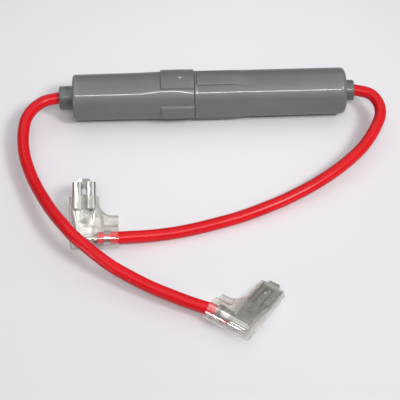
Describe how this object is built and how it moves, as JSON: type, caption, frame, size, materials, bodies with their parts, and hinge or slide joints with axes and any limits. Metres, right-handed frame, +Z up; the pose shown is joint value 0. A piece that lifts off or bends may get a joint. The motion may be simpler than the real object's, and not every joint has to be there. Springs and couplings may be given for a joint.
{
  "type": "microwave oven high voltage fuse",
  "caption": "Snap-together cylindrical high voltage fuse holder on two insulated leads, each ending in a crimped flag receptacle in a clear boot.",
  "frame": {"origin": "under the middle of the fuse holder, on the surface that it rests on", "axes": "+X along the holder, from its shorter half to its longer half; +Y away from the leads; +Z up"},
  "size_m": [0.1255, 0.1081, 0.0177],
  "materials": {
    "holder_plastic": "moulded grey nylon with a soft sheen",
    "contact_metal": "nickel plated brass",
    "spring_steel": "drawn spring wire",
    "fuse_glass": "clear glass",
    "lead_insulation": "red silicone rubber with a soft gloss",
    "conductor": "stranded tinned copper",
    "receptacle_metal": "bright tin plated brass sheet",
    "boot_vinyl": "clear soft vinyl"
  },
  "bodies": {
    "root": {"holder_half_left": "holder_plastic", "holder_half_right": "holder_plastic", "contact_cup_left": "contact_metal", "contact_cup_right": "contact_metal", "contact_spring": "spring_steel", "fuse_glass_tube": "fuse_glass", "fuse_cap_left": "contact_metal", "fuse_cap_right": "contact_metal", "fuse_element_spring": "spring_steel", "fuse_element_wire": "spring_steel", "left_lead": "lead_insulation", "right_lead": "lead_insulation", "left_wire_end_inner": "conductor", "right_wire_end_inner": "conductor", "left_wire_end_outer": "conductor", "right_wire_end_outer": "conductor", "left_receptacle": "receptacle_metal", "right_receptacle": "receptacle_metal", "left_boot": "boot_vinyl", "right_boot": "boot_vinyl"}
  },
  "joints": []
}
